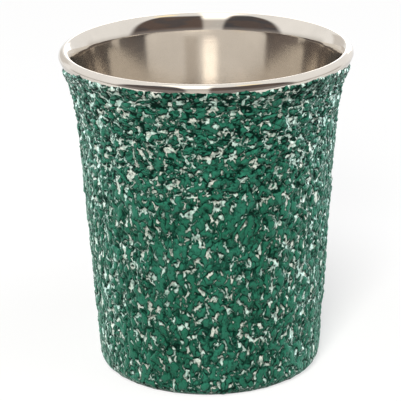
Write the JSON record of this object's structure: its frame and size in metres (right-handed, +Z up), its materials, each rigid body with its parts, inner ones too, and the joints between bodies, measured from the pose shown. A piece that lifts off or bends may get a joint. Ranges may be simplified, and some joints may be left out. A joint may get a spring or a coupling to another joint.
{
  "type": "sake cup",
  "caption": "Small flared sake cup with two steel walls, a rolled bare steel lip and a pebbled green lacquer coat, standing on a steel foot ring.",
  "frame": {"origin": "centre of the foot, on the surface that the cup stands on", "axes": "+Z up along the cup's axis, +Y through the getter inside the base"},
  "size_m": [0.056, 0.056, 0.0635],
  "materials": {
    "polished_steel": "satin inside, polished on the lip",
    "plain_steel": "plain rolled sheet",
    "weld_steel": "as welded",
    "green_lacquer": "pebbled satin lacquer with pale flecks",
    "solder_glass": "fired solder glass",
    "getter_metal": "sintered, matt"
  },
  "bodies": {
    "root": {"liner": "polished_steel", "lip_braze_ring": "weld_steel", "outer_shell": "plain_steel", "lacquer_coat": "green_lacquer", "base_plate": "plain_steel", "base_weld": "weld_steel", "evacuation_seal": "solder_glass", "base_cover": "plain_steel", "getter_pellet": "getter_metal", "getter_clip": "plain_steel"}
  },
  "joints": []
}
